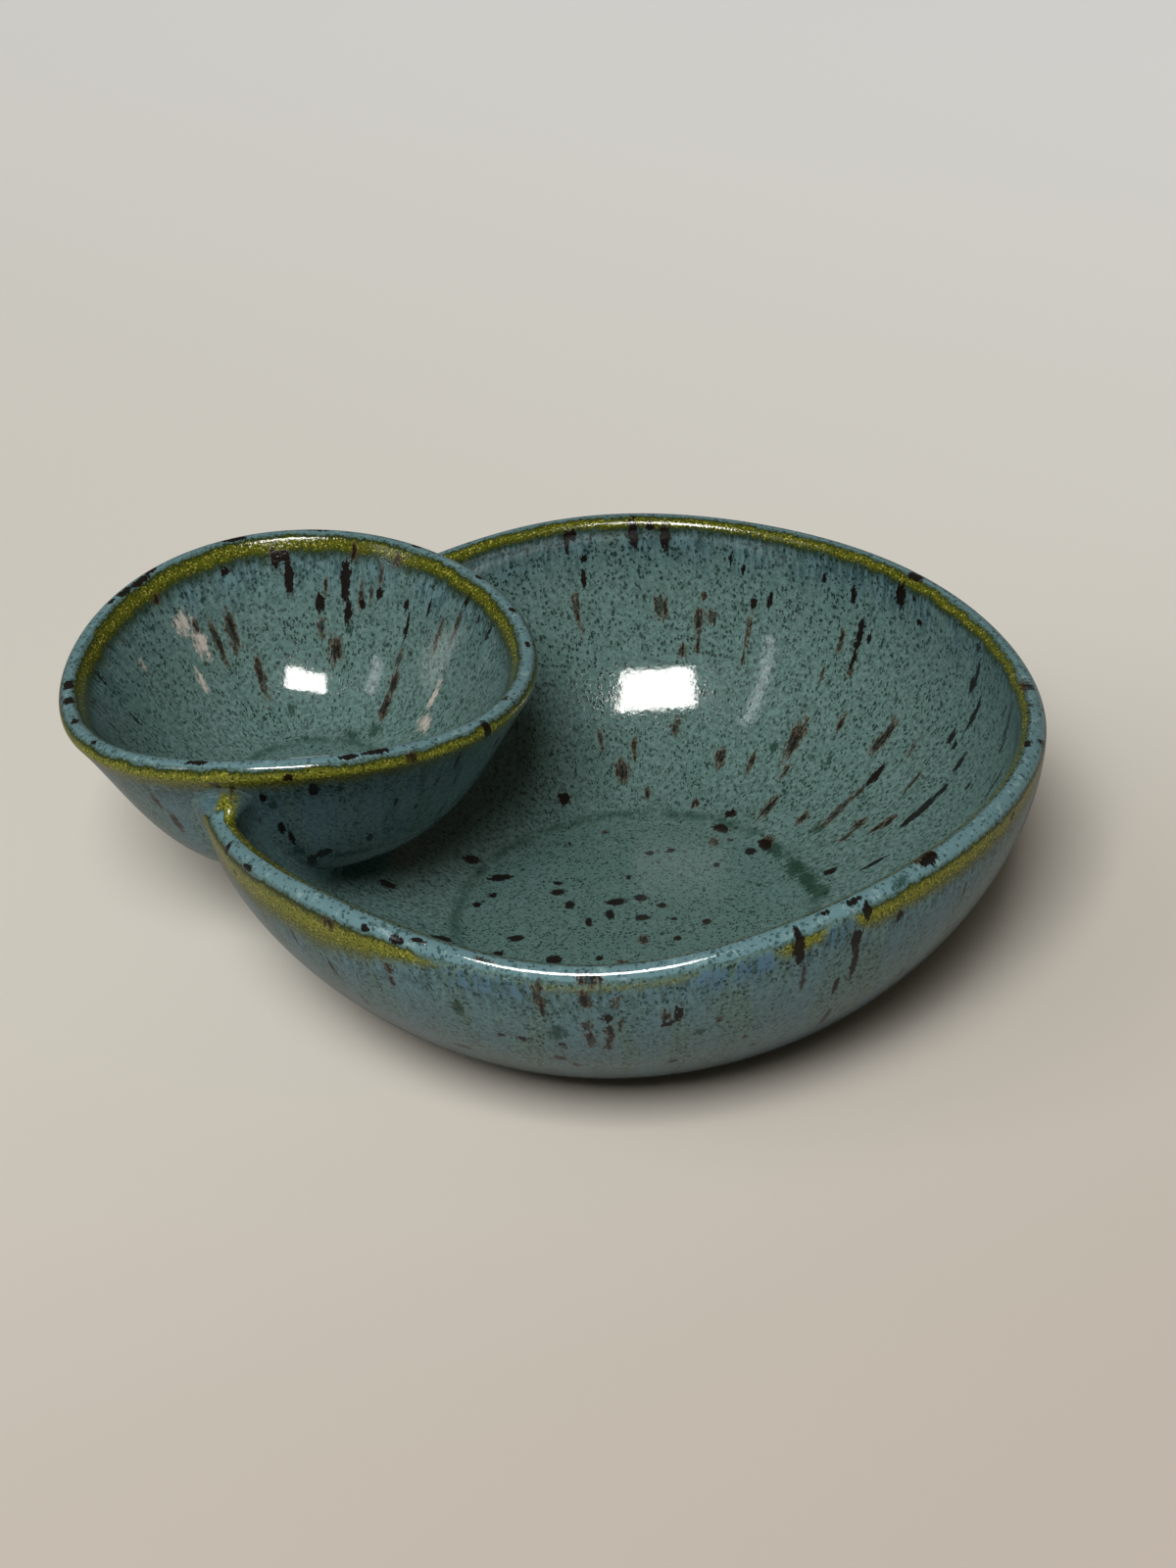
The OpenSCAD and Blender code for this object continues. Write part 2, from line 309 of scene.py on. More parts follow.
dish_marks["in_brown"] = [
    (115.7, 20, 8, 1.5), (115.3, 24.5, 4, 1), (101.5, 20.5, 6, 3), (94.3, 17.5, 2, 1.5),
    (95, 22.3, 5, 2.4), (95, 27, 6, 1.1), (92.7, 21.5, 3, 2), (86.2, 22.5, 9, 1.3), (86.3, 29, 4, 1),
    (97.8, 45.5, 5, 2), (97.6, 29, 4, 1.5), (114.5, 48, 6, 1), (107, 51, 6, 1.4), (110.3, 56, 6, 3),
    (86, 51, 5, 2.2), (78, 50.5, 6, 1.4), (70.6, 42.5, 11, 3.2), (68.8, 50, 4, 1.2), (66.5, 59, 7, 2.2),
    (69, 20, 6, 1.4), (70.7, 28, 4, 1), (62.6, 35.5, 5, 1.7), (51.6, 32, 9, 1.9), (52.2, 35.5, 5, 2.4),
    (44, 31.5, 6, 1.2), (47.7, 45, 4, 1.3), (48.3, 51, 10, 2), (55, 56.5, 4, 2), (38, 35.5, 7, 1),
    (34, 44.5, 4, 1.8), (35, 47, 6, 1.2), (40, 49.5, 4, 2.4), (39, 53.5, 4, 1.4), (21.5, 0, 3, 4),
    (65.3, 25, 3, 1.5), (103.5, 62, 4, 1.2), (88.5, 63, 3, 2), (330.8, 0.4, 2.4, 5),
]
dish_marks["in_green"] = [
    (74.5, 45.5, 3, 2.6), (61, 17, 2.4, 1.6), (64.3, 11.5, 3, 1.4), (60.5, 43, 4, 1.4),
    (48.5, 56, 5, 3), (30, 64, 5, 9), (38, 65, 5, 8), (22, 63, 5, 7), (68.8, 28.8, 3, 1.3),
    (52, 66, 3, 8),
]
print("marks inside the dish:", sum(map(len, dish_marks.values())))

# %% Blotches on the dish's floor
# Each is (distance to the right, distance away, width, depth) from the floor's middle, seen from the front.
FLOOR_BLACK = [
    (-3.2, 4.6, 4.2, 2), (1.6, 5.3, 2.6, 1.8), (-4.7, 0.3, 1.8, 2.6), (1.6, -1.6, 3.2, 1.4),
    (5.6, 2, 1.8, 1.5), (7.7, -2.8, 1, 1), (13.9, -4.8, 1.9, 1.4), (-9, -1.6, 1.4, 2.4),
    (-12.4, 5, 1.9, 2.2), (-14.7, 9.7, 2.8, 1.6), (-14.6, 12.9, 2, 1), (-16.3, -13.5, 3, 2.4),
    (-7.4, -14.2, 1.5, 1.2), (-23.4, -5.2, 3, 1.5), (-27, -9.9, 2, 1.7), (-35.5, -10.5, 5, 2.2),
    (-37.8, -5.4, 4, 1.5), (-48, 8.8, 4, 1.5), (-27.5, 10.5, 1.5, 1.3), (-30.8, 7.6, 1.7, 1.4),
    (-26, 16.5, 4.5, 1.7), (-31.4, 21.7, 3.6, 1.8), (-11.5, 27, 0.9, 0.9), (4.2, 21, 1.8, 1.1),
    (8.5, 21.3, 1.8, 1), (17.3, 14.8, 1.3, 1.2), (8, -9.6, 1.6, 1.2), (24.4, 18.6, 2.2, 1.8),
    (21.5, 31, 2.4, 1.4), (-0.5, 13, 1, 1),
]
FLOOR_BROWN = [
    (1.3, -9.3, 2.3, 2.6), (-3.2, -17.2, 2.6, 3.2), (-4.2, 30, 1.6, 1.3), (17.6, 23.2, 2.6, 2.2),
    (20.8, 23.4, 1.5, 1.2), (28.2, 21, 3, 2.2),
]
# Angle that the front view faces, distance from the lip where the floor starts, and the blotches' extra depth
FLOOR_FACING, FLOOR_FROM, FLOOR_DEEPER = 20.7, 50.0, 4 / 3
print("blotches on the floor:", len(FLOOR_BLACK) + len(FLOOR_BROWN))

# %% Marks listed outside the dish
dish_marks["out_black"] = [
    (254, 2.2, 1.4, 2), (258.5, 2, 1.6, 3), (261.5, 0.8, 1, 3), (224.5, 2.4, 4, 1.2),
    (231, 2.6, 1.2, 3.4), (226.5, 6.5, 1.6, 1.6), (245, 18, 5, 1.2), (239, 13.5, 6, 0.8),
    (262.5, 32, 2, 4), (247.5, 27, 6, 1), (271, 20, 1.5, 2), (274, 20, 1.6, 2), (285.6, 11.6, 2.6, 2),
    (293, 15, 2, 2.4), (294.6, 12.5, 5, 1.4), (279.3, 20.5, 5, 1), (310, 5, 8.5, 2.3),
    (318.2, 9, 5, 2.4), (318.4, 15, 9, 1.5), (319.7, 3.6, 3.4, 2), (325, 8.5, 3.6, 1.2),
    (316.3, 20, 8, 1.2), (6, 2.8, 3, 2), (331, 0.6, 2.4, 4), (314.5, 0.4, 1, 2), (318.5, 0.7, 1.5, 3),
    (330.5, 30, 5, 1), (338, 14, 5, 1), (317.5, 33, 9, 1.2), (349, 5, 2, 2), (294, 31.5, 2, 2),
]
dish_marks["out_brown"] = [
    (248, 4.6, 2.4, 3.5), (256.6, 9.4, 2.4, 2), (256.6, 12.8, 5, 1.5), (270.5, 0.8, 1.2, 3.6),
    (277.3, 6, 7, 2), (277.6, 10.5, 4, 1), (284, 2.2, 2.4, 4.5), (283.2, 6.5, 5, 2.6),
    (283, 13.4, 3, 2.4), (283.2, 18, 7, 1.8), (285.7, 16, 6, 2.2), (285.3, 20.5, 4, 1.7),
    (287, 7, 4, 1.4), (287.3, 13, 3, 1), (293, 12.6, 4, 1.7), (278, 27, 3, 3), (280, 30.5, 2, 2.4),
    (310.9, 12.8, 8, 1.4), (306, 33, 2, 2.4), (300, 17, 1.5, 1.5), (304, 27, 2, 1.6),
]
dish_marks["out_green"] = [
    (325.5, 1.4, 2.6, 4), (297.3, 19.5, 2.6, 2.6), (258.5, 18, 8, 1.2), (266, 14, 6, 3),
    (279, 16, 6, 4),
]
print("marks on both sides of the dish:", sum(map(len, dish_marks.values())))

# %% Marks listed on the pit bowl
pit_marks["in_black"] = [
    (126.5, 1.2, 1.8, 4), (106, 0.6, 1.5, 4.5), (150.5, 1, 1.5, 2.6), (155, 1.8, 1.8, 5),
    (160.5, 1.5, 1.8, 4), (165.5, 1, 1, 2), (203, 1.2, 2.4, 3), (211, 1.2, 2.4, 2.5), (222, 1, 2, 2),
    (236, 0.5, 1, 2), (270, 1, 1.4, 4), (131.5, 7.6, 2, 1.6), (117.6, 7, 5, 1.4),
    (114.8, 6.6, 2.4, 2.2), (114.4, 11, 8, 2), (189.5, 8, 5, 0.8), (205, 13.5, 4, 0.7),
    (208.5, 17, 5, 0.6), (202.5, 9.2, 4, 0.6), (97.4, 11.5, 9, 2.2), (96.3, 17.5, 5, 1.8),
    (105.4, 16.5, 4, 2.2), (91.5, 15.8, 2.4, 1.4), (86, 12.8, 2.4, 1.4), (75.6, 13.2, 2.4, 1.2),
    (73.8, 17.6, 6, 0.9), (52.5, 6.6, 3, 0.8), (44.5, 7.5, 3, 0.8), (37.5, 8.2, 6, 0.8),
    (66.5, 12, 5, 0.7), (77.5, 0.8, 1, 2.5), (54, 0.6, 1.4, 2.2), (35.5, 0.8, 1.2, 2),
    (19, 0.8, 1, 2.2), (312, 1, 1.4, 5), (305, 0.6, 1.4, 3), (190, 19, 3, 1),
]
pit_marks["in_brown"] = [
    (153.5, 6.8, 2.4, 2.2), (134.8, 19.5, 9, 2.3), (129.5, 30, 11, 1.8), (145.5, 15.8, 3, 1.6),
    (140.5, 20.5, 11, 1.7), (95.2, 5.6, 4, 1.8), (105.4, 21.5, 5, 1.6), (103.6, 13, 4, 1),
    (92.2, 14, 6, 1.2), (88.8, 13.4, 5, 0.9), (86.2, 9.5, 6, 1), (81.6, 5.2, 3, 1.8),
    (100.3, 25.8, 6, 3), (74, 24.3, 4.6, 1.6), (73.5, 29, 5, 2.4), (73.6, 34.2, 7, 2.3),
    (59.6, 16.5, 9, 1.3), (53, 11.8, 9, 1.2), (353, 1.5, 1.6, 2.6),
]
pit_marks["in_green"] = [
    (95.5, 20.8, 3, 1.8), (88, 18.2, 2, 1.5), (120.5, 38.5, 4, 2.5), (116, 46, 2, 2.4),
    (72.5, 39.5, 4, 3), (85, 43, 3, 5), (140.3, 11.5, 1.6, 1.4),
]
pit_marks["in_pale"] = [
    (149, 14, 6, 6), (146, 19.5, 8, 4), (152, 26, 7, 1.8), (50.5, 26.5, 9, 2), (46.5, 32, 5, 5),
    (170, 15, 4, 1.5),
]
pit_marks["out_black"] = [
    (296.5, 7.5, 4, 2), (340.5, 1.8, 5, 1.7), (291, 2.6, 2, 2), (333, 7, 6, 0.8), (284, 9.5, 3, 1.2),
    (288.5, 24, 5, 1.2), (286.5, 20, 4, 1.4), (281, 16.5, 6, 0.8), (311.5, 27, 2.4, 1.6),
    (324.5, 19.5, 2, 1.2), (329, 12, 7, 0.7), (336, 15, 5, 0.8), (318, 16, 3, 0.8), (298, 30, 2.4, 3),
    (293, 33, 5, 1.5), (296.5, 31, 2, 2.4),
]
pit_marks["out_brown"] = [
    (274, 4.6, 3, 2.2), (277.5, 5.8, 5, 1.5), (319.5, 1.4, 3, 2.3), (254, 20, 8, 2), (252, 13, 6, 1.6),
]
pit_marks["out_green"] = [
    (302.5, 8, 5, 2), (290, 28.5, 4, 4), (325, 32, 2, 22), (305, 32, 2.4, 14), (286, 12, 5, 3),
    (340, 31, 2, 12),
]
print("marks on the pit bowl:", sum(map(len, pit_marks.values())))

# %% Seeded marks for the sides that the camera never sees
SEED = 7
STREWN_LENGTH, STREWN_WIDTH = (2, 9), (0.9, 2.4)
DISH_NEAR_WALL, DISH_BEHIND_PIT, DISH_BACK = (225, 352), (130, 150), (8, 152)
PIT_NEAR_WALL, PIT_BACK = (225, 350), (60, 245)
chance = np.random.RandomState(SEED)


def strewn(count, angles, distances):
    """Marks strewn over a stretch of wall between two angles and two distances from the lip."""
    spans = (angles, distances, STREWN_LENGTH, STREWN_WIDTH)
    return [tuple(chance.uniform(*span) for span in spans) for _ in range(count)]


dish_marks["in_black"] += strewn(26, DISH_NEAR_WALL, (4, 60))
dish_marks["in_brown"] += strewn(22, DISH_NEAR_WALL, (12, 60)) + strewn(5, DISH_BEHIND_PIT, (10, 55))
dish_marks["out_black"] += strewn(40, DISH_BACK, (0, 60))
dish_marks["out_brown"] += strewn(34, DISH_BACK, (4, 55))
pit_marks["in_black"] += strewn(10, PIT_NEAR_WALL, (8, 30))
pit_marks["in_brown"] += strewn(10, PIT_NEAR_WALL, (8, 34))
pit_marks["out_black"] += strewn(22, PIT_BACK, (0, 34))
pit_marks["out_brown"] += strewn(14, PIT_BACK, (3, 30))
print("seeded marks added")

# %% Fields of the marks over a bowl


LEAST_R = 6.0


def mark_field(marks, angles, edge, radius):
    """1 in the middle of a mark, 0 along its edge and less outside it."""
    field = np.full(edge.shape, -1.0)
    for angle, distance, length, width in marks:
        off = np.radians((angles - angle + 180) % 360 - 180) * np.maximum(radius, LEAST_R)
        reach = np.hypot(off / (width / 2), (edge - distance) / (length / 2))
        field = np.maximum(field, 1 - reach)
    return field


def floor_field(marks, points):
    """The same for the blotches on the floor, which lie across and away from the front view."""
    turn = math.radians(FLOOR_FACING)
    x, y = points[..., 0] - dish.axis[0], points[..., 1] - dish.axis[1]
    across, away = x * math.cos(turn) + y * math.sin(turn), y * math.cos(turn) - x * math.sin(turn)
    field = np.full(x.shape, -1.0)
    for u, v, width, depth in marks:
        reach = np.hypot((across - u) / (width / 2), (away - v) / (depth / 2 * FLOOR_DEEPER))
        field = np.maximum(field, 1 - reach)
    return field


TONES = ("black", "brown", "green", "pale")


def bowl_marks(marks, angles, edge, radius):
    """Fields of a bowl's four kinds of marks, inside and outside together."""
    fields = {}
    for tone in TONES:
        inside = mark_field(marks.get("in_" + tone, []), angles, edge, radius)
        outside = mark_field(marks.get("out_" + tone, []), angles, -edge, radius)
        fields[tone] = np.maximum(inside, outside)
    return fields


def dress(piece, values):
    for name, field in values.items():
        give(piece, name, field)
    print(piece.name, len(piece.data.vertices), "points carry", ", ".join(values))


def with_poles(grid, first, last):
    """A grid's values in the mesh's order of points, with those of its two middle points."""
    flat = grid.reshape(-1, *grid.shape[2:])
    return np.concatenate([flat, [first], [last]])


# %% Making one bowl with its glaze


FLOOR_BLEND = 4.0


def make_bowl(name, bowl, marks, columns, wall_steps, floor_rings):
    angles = np.arange(columns) * 360 / columns
    rows, edge = bowl_rows(bowl, angles, wall_steps, floor_rings, bowl is dish)
    points, radius = swing(bowl, angles, rows), rows[..., 0]
    piece = lofted(name, points, (*bowl.axis, rows[0, 0, 1]), (*bowl.axis, rows[0, -1, 1]))
    around = np.repeat(angles[:, None], rows.shape[1], 1)
    beyond, olive, lap = glaze_bands(bowl, around, edge)
    fields = {"beyond": beyond, "olive": olive, "lap": lap}
    fields.update(bowl_marks(marks, around, edge, radius))
    if bowl is dish:
        for tone, blotches in (("black", FLOOR_BLACK), ("brown", FLOOR_BROWN)):
            on_floor = np.where(edge > FLOOR_FROM, floor_field(blotches, points), -1.0)
            fields[tone] = np.maximum(fields[tone], on_floor)
    level = np.clip((bowl.floor_r + FLOOR_BLEND / 2 - radius) / FLOOR_BLEND, 0, 1)
    fields["floor"] = np.where(edge > 0, level, 0.0)
    dress(piece, {key: with_poles(field, field[0, 0], field[0, -1]) for key, field in fields.items()})
    return piece


# %% The pit bowl
pit = make_bowl("pit_bowl_glazed", pit_bowl, pit_marks, columns=400, wall_steps=48, floor_rings=20)
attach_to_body(pit, "root")
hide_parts("side_bowl")

# %% [markdown]
# ## The dish and its notch
# The potter cuts a notch in the dish's wall to seat the pit bowl. Here a plug of the pit bowl's own
# outside, a hair larger, is taken away with a Boolean. The fast manifold solver keeps the point values.

# %% The dish
NOTCH_SHARP = 50
PLUG_COLUMNS, PLUG_STEPS, PLUG_OVERRUN = 240, 40, 20.0
dish_piece = make_bowl("dish_glazed", dish, dish_marks, columns=520, wall_steps=60, floor_rings=44)


def notch_plug():
    """The pit bowl's outside, larger by the slip's gap and drawn up past the dish's lip."""
    angles = np.arange(PLUG_COLUMNS) * 360 / PLUG_COLUMNS
    outer, _, _ = section(pit_bowl, angles, PLUG_STEPS, LIP_STEPS, SLIP_GAP)
    top = outer[:, -1:].copy()
    top[..., 1] = pit_bowl.lip_h + PLUG_OVERRUN
    rows = np.concatenate([outer, top], 1)
    low, high = (*pit_bowl.axis, rows[0, 0, 1]), (*pit_bowl.axis, rows[0, -1, 1])
    return lofted("notch_plug", swing(pit_bowl, angles, rows), low, high)


def cut_away(piece, plug):
    cutter = piece.modifiers.new("notch", "BOOLEAN")
    cutter.operation, cutter.solver, cutter.object = "DIFFERENCE", "MANIFOLD", plug
    shape = bpy.data.meshes.new_from_object(piece.evaluated_get(bpy.context.evaluated_depsgraph_get()))
    piece.modifiers.remove(cutter)
    piece.data = shape
    bpy.data.objects.remove(plug)


plug = notch_plug()
bpy.context.view_layer.update()
cut_away(dish_piece, plug)
dish_piece.data.set_sharp_from_angle(angle=math.radians(NOTCH_SHARP))
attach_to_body(dish_piece, "root")
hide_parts("main_bowl")
print("dish after the notch:", len(dish_piece.data.vertices), "points")

# %% [markdown]
# ## The luting coil
# Where the bowls meet, the potter presses in a coil of clay and smooths it with a fingertip.
# A bevel can't follow such a corner, so a ball the size of the fingertip is rolled along it instead:
# at each place the ball touches both walls, and the clay fills the hollow under it.

# %% Nearest points on the bowls
# Radius of the fingertip, how far the coil bulges into its hollow, and how far its edges sink into the walls
COIL_R, COIL_FULL, COIL_SINK = 3.4, 0.5, 0.05
TOUCH_STEPS, TOUCH_RINGS = 60, 4


def touch(bowl, place):
    """Gap from a place to a bowl, the way out of its clay, and the spot's angle and distance from the lip."""
    x, y = place[0] - bowl.axis[0], place[1] - bowl.axis[1]
    angle = math.degrees(math.atan2(y, x))
    rows, edge = bowl_rows(bowl, np.array([angle]), TOUCH_STEPS, TOUCH_RINGS, bowl is dish)
    line, far = rows[0], edge[0]
    spot = np.array([math.hypot(x, y), place[2]])
    start, run = line[:-1], np.diff(line, axis=0)
    t = np.clip(((spot - start) * run).sum(1) / (run**2).sum(1), 0, 1)
    near = start + t[:, None] * run
    gaps = np.linalg.norm(spot - near, axis=1)
    i = int(gaps.argmin())
    out = (spot - near[i]) / gaps[i]
    turn = math.radians(angle)
    outward = np.array([out[0] * math.cos(turn), out[0] * math.sin(turn), out[1]])
    return gaps[i], outward, angle, far[i] + t[i] * (far[i + 1] - far[i])


def settle(place, radius, tries):
    """Moves a ball until it touches both bowls."""
    for _ in range(tries):
        (gap_a, out_a, *_), (gap_b, out_b, *_) = touch(dish, place), touch(pit_bowl, place)
        mix, miss_a, miss_b = out_a @ out_b, radius - gap_a, radius - gap_b
        place = place + ((miss_a - mix * miss_b) * out_a + (miss_b - mix * miss_a) * out_b) / (1 - mix * mix)
    return place


print("from the dish's mouth to its floor:", round(touch(dish, (*dish.axis, dish.lip_h))[0], 1), "mm")

# %% Rolling the fingertip round the corner
PITCH, CLOSED_SHARE = 1.0, 0.7
LEAST_STEPS, MOST_STEPS = 10, 700
FIRST_TRIES, TRIES = 12, 4
START_LEFT = 50.0


def roll():
    """Places of the fingertip, from under the pit bowl once round the notch."""
    first_guess = np.array([dish.axis[0] - START_LEFT, dish.axis[1], pit_bowl.base_h - COIL_R])
    start = settle(first_guess, COIL_R, FIRST_TRIES)
    path, place = [start], start
    for step in range(MOST_STEPS):
        heading = np.cross(touch(dish, place)[1], touch(pit_bowl, place)[1])
        place = settle(place + PITCH * heading / np.linalg.norm(heading), COIL_R, TRIES)
        if step > LEAST_STEPS and np.linalg.norm(place - start) < PITCH * CLOSED_SHARE:
            break
        path.append(place)
    return path


path = roll()
print("the fingertip went round in", len(path), "steps")

# %% The coil under the fingertip
ARC_STEPS = 14
EDGE_SHARP = 60
# The olive fades on the web over the lip's end: how far outside the crest its middle lies, and half its width
WEB_AT, WEB_HALF = 3.4, 2.0


def corner_under(place):
    """The bottom of the corner, reached with ever smaller balls."""
    radius = COIL_R
    while radius > 2 * SLIP_GAP:
        radius = max(radius / 2, 2 * SLIP_GAP)
        place = settle(place, radius, TRIES)
    return place


def carried_from(bowl, marks, place, angle, edge):
    """What the glaze carries at a spot on a bowl, in the order of the coil's fields."""
    radius = math.hypot(place[0] - bowl.axis[0], place[1] - bowl.axis[1])
    spots = bowl_marks(marks, np.array([angle]), np.array([edge]), np.array([radius]))
    return (*glaze_bands(bowl, np.array(angle), np.array(edge)), *(spots[tone][0] for tone in TONES))


def coil_mesh():
    """Rings of the coil under each place of the fingertip, and what the glaze carries on them."""
    shape, fields = [], {name: [] for name in ("beyond", "olive", "lap", *TONES)}
    for place in path:
        (_, out_a, angle_a, edge_a), (_, out_b, angle_b, edge_b) = touch(dish, place), touch(pit_bowl, place)
        glaze_a = carried_from(dish, dish_marks, place, angle_a, edge_a)
        glaze_b = carried_from(pit_bowl, pit_marks, place, angle_b, edge_b)
        web = np.clip((abs(edge_a + WEB_AT) - WEB_HALF) / WEB_HALF, 0, 1)
        ring = []
        for i in range(ARC_STEPS + 1):
            t = i / ARC_STEPS
            way = (1 - t) * out_a + t * out_b
            depth = COIL_R + COIL_SINK - COIL_FULL * math.sin(math.pi * t)
            ring.append(place - depth * way / np.linalg.norm(way))
            ease = t * t * (3 - 2 * t)
            for name, a, b in zip(fields, glaze_a, glaze_b):
                fields[name].append(((1 - ease) * a + ease * b) * (web if name == "olive" else 1))
        ring.append(corner_under(place))
        for name in fields:
            fields[name].append(fields[name][-1])
        shape.append(ring)
    return np.array(shape), {name: np.array(values) for name, values in fields.items()}


def looped(name, rings, turned=False):
    """A closed tube over rings that each have as many points, with its faces turned over on request."""
    count, size = rings.shape[:2]
    i, j = np.meshgrid(np.arange(count), np.arange(size), indexing="ij")
    k, m = (i + 1) % count, (j + 1) % size
    faces = np.stack([i * size + j, i * size + m, k * size + m, k * size + j], -1).reshape(-1, 4)
    faces = faces[:, ::-1] if turned else faces
    mesh = bpy.data.meshes.new(name)
    mesh.from_pydata((rings.reshape(-1, 3) * MM).tolist(), [], faces.tolist())
    mesh.shade_smooth()
    mesh.set_sharp_from_angle(angle=math.radians(EDGE_SHARP))
    return shown(name, mesh)


rings, coil_fields = coil_mesh()
coil = looped("luting_coil_glazed", rings, turned=True)
coil_fields["floor"] = np.zeros(rings.shape[0] * rings.shape[1])
dress(coil, coil_fields)
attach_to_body(coil, "root")
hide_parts("luting_coil")

# %% [markdown]
# ## The foot ring
# The foot is turned from the leather-hard base and left bare, so that the dish doesn't stick to
# the kiln shelf. Its solid is a plain chamfered ring. A sponge rounds the two lower edges, which a
# finer section shows.

# %% The foot ring
FOOT_R, FOOT_W, FOOT_ROUND = 38.0, 4.5, 0.6
FOOT_COLUMNS, FOOT_TURNS, FLAT_SHARES = 240, 7, (0.25, 0.5, 0.75)


def foot_section():
    """The ring's section, from its inner top round the two sponged edges to its outer top."""
    inner, turns = FOOT_R - FOOT_W, np.linspace(0, 90, FOOT_TURNS)
    low_in = [np.array([inner + FOOT_ROUND, FOOT_ROUND]) + polar(FOOT_ROUND, 180 + a) for a in turns]
    low_out = [np.array([FOOT_R - FOOT_ROUND, FOOT_ROUND]) + polar(FOOT_ROUND, 270 + a) for a in turns]
    flat = [np.array([inner + FOOT_ROUND + (FOOT_W - 2 * FOOT_ROUND) * k, 0]) for k in FLAT_SHARES]
    return np.array([[inner, FOOT_H], *low_in, *flat, *low_out, [FOOT_R, FOOT_H]])


foot_angles = np.arange(FOOT_COLUMNS) * 360 / FOOT_COLUMNS
foot_rows = np.repeat(foot_section()[None], len(foot_angles), 0)
foot = looped("foot_ring_bare", swing(dish, foot_angles, foot_rows)[:, ::-1])
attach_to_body(foot, "root")
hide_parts("foot_ring")
print("foot ring:", len(foot.data.vertices), "points")

# %% [markdown]
# ## Shader maths as Python
# A material is a graph of nodes, and long sums of Math nodes are hard to read. This class wraps one
# socket, so that a sum of sockets is written as a sum, and one method makes any other node.

# %% A socket that can be added and multiplied
DOT_EDGE = 0.05


class Wire:
    """A socket in a material's nodes."""

    def __init__(self, tree, socket=None):
        self.tree, self.socket = tree, socket

    def node(self, kind, settings=None, inputs=None, output=0):
        """Adds a node: settings first, then the values or links of its inputs."""
        made = self.tree.nodes.new(kind)
        for name, value in (settings or {}).items():
            setattr(made, name, value)
        for name, value in (inputs or {}).items():
            if isinstance(value, Wire):
                self.tree.links.new(value.socket, made.inputs[name])
            else:
                made.inputs[name].default_value = value
        return Wire(self.tree, made.outputs[output])

    def maths(self, operation, *values):
        return self.node("ShaderNodeMath", {"operation": operation}, dict(enumerate(values)))

    def __add__(self, other):
        return self.maths("ADD", self, other)

    def __sub__(self, other):
        return self.maths("SUBTRACT", self, other)

    def __rsub__(self, other):
        return self.maths("SUBTRACT", other, self)

    def __mul__(self, other):
        return self.maths("MULTIPLY", self, other)

    def __truediv__(self, other):
        return self.maths("DIVIDE", self, other)

    __radd__, __rmul__ = __add__, __mul__

    def rise(self, low, high):
        """0 below low, 1 above high, and a smooth step between them."""
        inputs = {"Value": self, "From Min": low, "From Max": high}
        return self.node("ShaderNodeMapRange", {"interpolation_type": "SMOOTHSTEP"}, inputs)

    def sway(self, amount):
        """Noise turned into a push of up to half that amount, either way."""
        return (self - 0.5) * amount

    def most(self, other):
        return self.maths("MAXIMUM", self, other)

    def over(self, under, top):
        """A colour under this mask, covered by another where the mask is 1."""
        return self.node("ShaderNodeMix", {"data_type": "RGBA"}, {0: self, 6: under, 7: top}, 2)

    def stretched(self, x, y, z):
        return self.node("ShaderNodeVectorMath", {"operation": "MULTIPLY"}, {0: self, 1: (x, y, z)})

    def noise(self, scale, detail=2.0, roughness=0.5):
        """Soft noise from 0 to 1 with that many waves for each unit of this vector."""
        return self.node("ShaderNodeTexNoise", {"noise_dimensions": "3D"},
                         {"Vector": self, "Scale": scale, "Detail": detail, "Roughness": roughness})

    def shaken(self, scale, amount):
        """This vector, pushed about by noise, so that what is drawn with it turns ragged."""
        push = self.node("ShaderNodeTexNoise", None, {"Vector": self, "Scale": scale, "Detail": 1.0}, "Color")
        inputs = {0: push, 1: (amount,) * 3, 2: self}
        return push.node("ShaderNodeVectorMath", {"operation": "MULTIPLY_ADD"}, inputs)

    def dots(self, scale, least, most):
        """Round dots of random size, one to a cell of a Voronoi pattern."""
        inputs = {"Vector": self, "Scale": scale}
        distance = self.node("ShaderNodeTexVoronoi", {"voronoi_dimensions": "3D"}, inputs, "Distance")
        random = Wire(self.tree, distance.socket.node.outputs["Color"])
        size = random.node("ShaderNodeSeparateXYZ", None, {0: random}, "X") * (most - least) + least
        return 1 - (distance - size).rise(-DOT_EDGE, DOT_EDGE)


def colour(red, green, blue):
    """A colour as it looks on a screen, from 0 to 255, turned into the linear numbers that a shader takes."""
    def linear(v):
        v /= 255
        return v / 12.92 if v <= 0.04045 else ((v + 0.055) / 1.055) ** 2.4
    return (linear(red), linear(green), linear(blue), 1.0)


def material_of(name):
    made = bpy.data.materials.new(name)
    made.use_nodes = True
    return made, Wire(made.node_tree), made.node_tree.nodes["Principled BSDF"]


def attach(wire, shader, name):
    wire.tree.links.new(wire.socket, shader.inputs[name])


def millimetres(start):
    """A place on the piece in millimetres, for noise to be drawn with."""
    place = start.node("ShaderNodeTexCoord", output="Object")
    return place.node("ShaderNodeVectorMath", {"operation": "SCALE"}, {0: place, "Scale": 1 / MM})


# %% [markdown]
# ## The running glaze
# Seen close, the glaze is a pale teal full of dark green specks. Its bands follow the distance from the
# lip that every point carries, and noise that is stretched down the wall makes their edges run. Each
# layer below covers the one before it, and the marks come last, with their edges roughened by noise.

